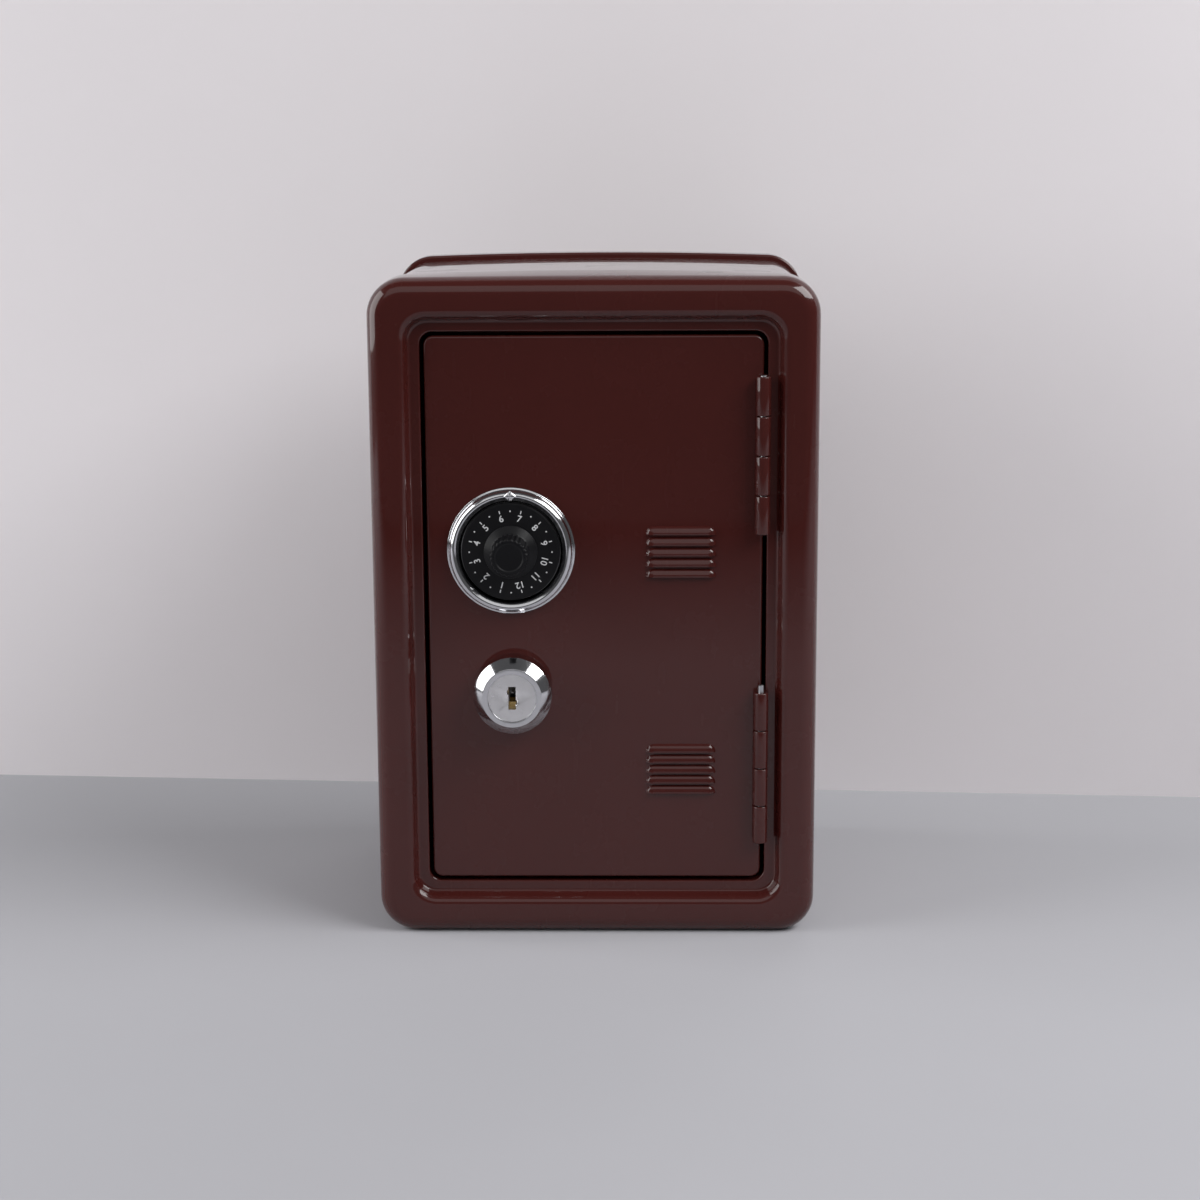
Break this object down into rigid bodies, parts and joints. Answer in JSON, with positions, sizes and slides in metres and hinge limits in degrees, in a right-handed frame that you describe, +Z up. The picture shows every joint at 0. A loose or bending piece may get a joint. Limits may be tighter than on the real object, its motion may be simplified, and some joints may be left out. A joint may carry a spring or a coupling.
{
  "type": "mini safe",
  "caption": "Small sheet-metal safe with a hinged louvred door, a click dial in a bright ring, a cam lock and a coin slot in its top.",
  "frame": {"origin": "on the surface the safe stands on, under the middle of its overall box", "axes": "+X to the right seen from the front, +Y from front to back, +Z up"},
  "size_m": [0.12, 0.1074, 0.1815],
  "materials": {
    "brown_enamel": "glossy stoved enamel",
    "chrome": "bright plated",
    "black_plastic": "satin moulded",
    "zinc_steel": "zinc plated",
    "spring_steel": "blued strip",
    "brass": "stamped"
  },
  "bodies": {
    "case": {"front_frame": "brown_enamel", "body_sleeve": "brown_enamel", "back_panel": "brown_enamel", "upper_hinge_frame_leaf": "brown_enamel", "lower_hinge_frame_leaf": "brown_enamel", "upper_hinge_pin": "zinc_steel", "lower_hinge_pin": "zinc_steel"},
    "door": {"door_panel": "brown_enamel", "upper_hinge_door_leaf": "brown_enamel", "lower_hinge_door_leaf": "brown_enamel", "dial_bezel": "chrome", "bezel_screws": "zinc_steel", "click_spring": "spring_steel", "lock_housing": "chrome", "lock_tooth_washer": "zinc_steel", "lock_nut": "zinc_steel"},
    "dial": {"dial_disc": "black_plastic", "dial_knob": "black_plastic", "dial_spindle": "zinc_steel", "click_wheel": "brass", "spindle_washer": "zinc_steel", "spindle_nut": "zinc_steel"},
    "lock_core": {"lock_plug": "chrome", "lock_wafers": "brass", "lock_cam": "zinc_steel", "cam_washer": "zinc_steel", "cam_screw": "zinc_steel"}
  },
  "joints": [
    {"name": "door_swing", "type": "hinge", "parent": "case", "child": "door", "pos_m": [0.0449, -0.0449, 0.0901], "axis": [0, 0, 1], "range_deg": [0, 160]},
    {"name": "dial_turn", "type": "hinge", "parent": "door", "child": "dial", "pos_m": [-0.0225, -0.0428, 0.1072], "axis": [0, -1, 0], "continuous": true},
    {"name": "lock_turn", "type": "hinge", "parent": "door", "child": "lock_core", "pos_m": [-0.0223, -0.0428, 0.0683], "axis": [0, 1, 0], "range_deg": [0, 90]}
  ]
}
